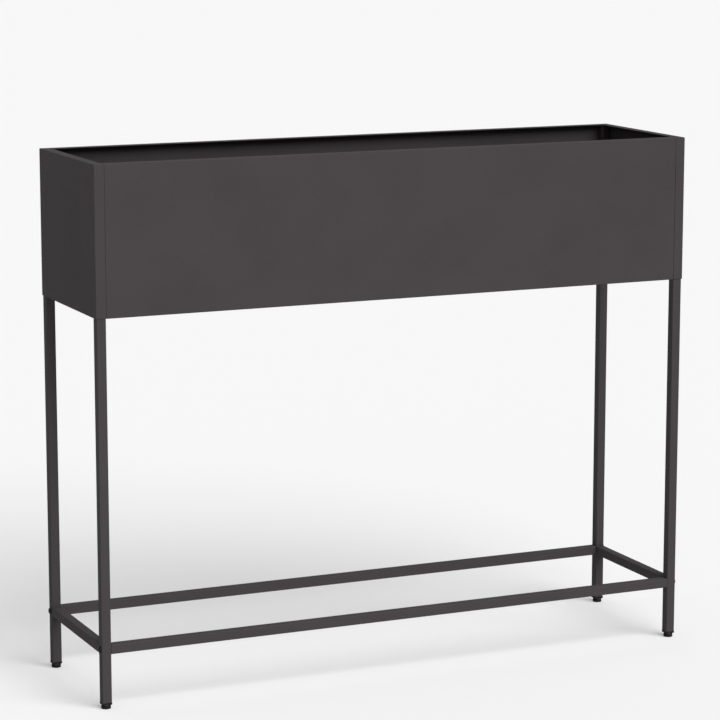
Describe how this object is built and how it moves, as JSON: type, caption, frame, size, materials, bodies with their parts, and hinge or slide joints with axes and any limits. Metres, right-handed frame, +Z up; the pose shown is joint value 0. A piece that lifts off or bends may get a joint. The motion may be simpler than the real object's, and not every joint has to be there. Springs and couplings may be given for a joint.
{
  "type": "raised planter on legs",
  "caption": "Long narrow sheet-steel planter trough held high on slim square-tube legs, with a rail frame near the floor and screw-in levelling feet.",
  "frame": {"origin": "on the floor, under the middle of the planter", "axes": "+X along the length, +Y to the rear, +Z up; the front is towards -Y"},
  "size_m": [1.004, 0.26, 0.83],
  "materials": {
    "coated_steel": "matt anthracite powder coat with a fine texture",
    "black_bolt": "blackened steel, satin",
    "zinc": "bright zinc plate",
    "nylon": "moulded black nylon, matt"
  },
  "bodies": {
    "planter": {"leg_front_left": "coated_steel", "leg_front_right": "coated_steel", "leg_rear_left": "coated_steel", "leg_rear_right": "coated_steel", "lower_rail_front": "coated_steel", "lower_rail_rear": "coated_steel", "lower_rail_left": "coated_steel", "lower_rail_right": "coated_steel", "cross_tube_left": "coated_steel", "cross_tube_right": "coated_steel", "tray_brace_1": "coated_steel", "tray_brace_2": "coated_steel", "tray_brace_3": "coated_steel", "front_panel": "coated_steel", "rear_panel": "coated_steel", "end_cap_left": "coated_steel", "end_cap_right": "coated_steel", "floor_tray": "coated_steel", "rail_bolt_front_left": "black_bolt", "rail_insert_front_left": "zinc", "rail_bolt_front_right": "black_bolt", "rail_insert_front_right": "zinc", "rail_bolt_rear_left": "black_bolt", "rail_insert_rear_left": "zinc", "rail_bolt_rear_right": "black_bolt", "rail_insert_rear_right": "zinc", "panel_screw_front_left_1": "black_bolt", "panel_screw_front_left_2": "black_bolt", "panel_screw_front_right_1": "black_bolt", "panel_screw_front_right_2": "black_bolt", "panel_screw_rear_left_1": "black_bolt", "panel_screw_rear_left_2": "black_bolt", "panel_screw_rear_right_1": "black_bolt", "panel_screw_rear_right_2": "black_bolt", "brace_screw_front_1": "black_bolt", "brace_screw_front_2": "black_bolt", "brace_screw_front_3": "black_bolt", "brace_screw_rear_1": "black_bolt", "brace_screw_rear_2": "black_bolt", "brace_screw_rear_3": "black_bolt", "leg_plug_front_left": "nylon", "leg_plug_front_right": "nylon", "leg_plug_rear_left": "nylon", "leg_plug_rear_right": "nylon"},
    "pad_front_left": {"foot_pad_front_left": "nylon"},
    "stud_front_left": {"foot_stud_front_left": "zinc"},
    "pad_front_right": {"foot_pad_front_right": "nylon"},
    "stud_front_right": {"foot_stud_front_right": "zinc"},
    "pad_rear_left": {"foot_pad_rear_left": "nylon"},
    "stud_rear_left": {"foot_stud_rear_left": "zinc"},
    "pad_rear_right": {"foot_pad_rear_right": "nylon"},
    "stud_rear_right": {"foot_stud_rear_right": "zinc"}
  },
  "joints": [
    {"name": "foot_reach_front_left", "type": "slide", "parent": "planter", "child": "pad_front_left", "axis": [0, 0, -1], "range_m": [0, 0.008]},
    {"name": "foot_turn_front_left", "type": "hinge", "parent": "pad_front_left", "child": "stud_front_left", "pos_m": [-0.4915, -0.1215, 0.006], "axis": [0, 0, -1], "range_deg": [0, 2880]},
    {"name": "foot_reach_front_right", "type": "slide", "parent": "planter", "child": "pad_front_right", "axis": [0, 0, -1], "range_m": [0, 0.008]},
    {"name": "foot_turn_front_right", "type": "hinge", "parent": "pad_front_right", "child": "stud_front_right", "pos_m": [0.4915, -0.1215, 0.006], "axis": [0, 0, -1], "range_deg": [0, 2880]},
    {"name": "foot_reach_rear_left", "type": "slide", "parent": "planter", "child": "pad_rear_left", "axis": [0, 0, -1], "range_m": [0, 0.008]},
    {"name": "foot_turn_rear_left", "type": "hinge", "parent": "pad_rear_left", "child": "stud_rear_left", "pos_m": [-0.4915, 0.1215, 0.006], "axis": [0, 0, -1], "range_deg": [0, 2880]},
    {"name": "foot_reach_rear_right", "type": "slide", "parent": "planter", "child": "pad_rear_right", "axis": [0, 0, -1], "range_m": [0, 0.008]},
    {"name": "foot_turn_rear_right", "type": "hinge", "parent": "pad_rear_right", "child": "stud_rear_right", "pos_m": [0.4915, 0.1215, 0.006], "axis": [0, 0, -1], "range_deg": [0, 2880]}
  ],
  "couplings": [
    {"joint": "foot_turn_front_left", "follows": "foot_reach_front_left", "rad_per_m": 6283.1},
    {"joint": "foot_turn_front_right", "follows": "foot_reach_front_right", "rad_per_m": 6283.1},
    {"joint": "foot_turn_rear_left", "follows": "foot_reach_rear_left", "rad_per_m": 6283.1},
    {"joint": "foot_turn_rear_right", "follows": "foot_reach_rear_right", "rad_per_m": 6283.1}
  ]
}
